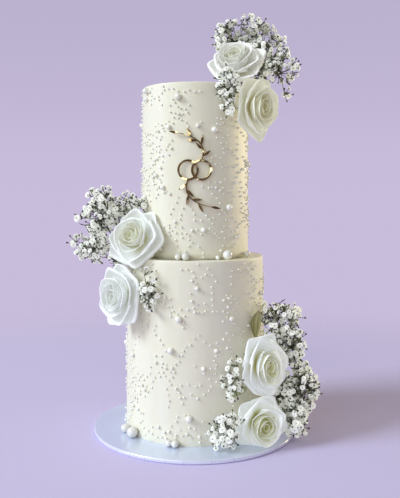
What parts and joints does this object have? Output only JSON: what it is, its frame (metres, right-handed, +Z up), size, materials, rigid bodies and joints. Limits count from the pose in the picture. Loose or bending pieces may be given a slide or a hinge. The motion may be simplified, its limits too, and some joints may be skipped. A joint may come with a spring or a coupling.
{
  "type": "tiered wedding cake",
  "caption": "Tall white two-tier wedding cake with sugar pearls, white roses, baby's breath and a gold ornament, on a round board.",
  "frame": {"origin": "centre of the cake board's underside", "axes": "+Z up through both tiers; the front with the ornament faces -Y; +X to the right seen from the front"},
  "size_m": [0.3563, 0.3048, 0.6294],
  "materials": {
    "buttercream": "smooth scraped buttercream, satin",
    "sugar_pearl": "pearlescent sugar shell",
    "rose_petal": "soft white petals",
    "babys_breath": "small white flowers on thin green stems",
    "leaf": "matte green leaf",
    "gold_mirror": "gold mirror acrylic",
    "board_foil": "embossed white foil paper on board"
  },
  "bodies": {
    "root": {"cake_board": "board_foil", "lower_tier": "buttercream", "upper_tier": "buttercream", "gold_ornament": "gold_mirror", "board_pearl_1": "sugar_pearl", "board_pearl_2": "sugar_pearl", "board_pearl_3": "sugar_pearl", "board_pearl_4": "sugar_pearl", "board_pearl_5": "sugar_pearl", "board_pearl_6": "sugar_pearl", "ledge_pearl_1": "sugar_pearl", "ledge_pearl_2": "sugar_pearl", "ledge_pearl_3": "sugar_pearl", "ledge_pearl_4": "sugar_pearl", "ledge_pearl_5": "sugar_pearl", "ledge_pearl_6": "sugar_pearl", "rose_top_back": "rose_petal", "rose_top_front": "rose_petal", "rose_left_upper": "rose_petal", "rose_left_lower": "rose_petal", "rose_right_upper": "rose_petal", "rose_right_lower": "rose_petal", "babys_breath_top": "babys_breath", "babys_breath_top_front": "babys_breath", "babys_breath_left": "babys_breath", "babys_breath_left_wall": "babys_breath", "babys_breath_left_front": "babys_breath", "babys_breath_right": "babys_breath", "babys_breath_right_middle": "babys_breath", "babys_breath_right_low": "babys_breath", "leaf_right_top": "leaf", "leaf_right_middle": "leaf"}
  },
  "joints": []
}
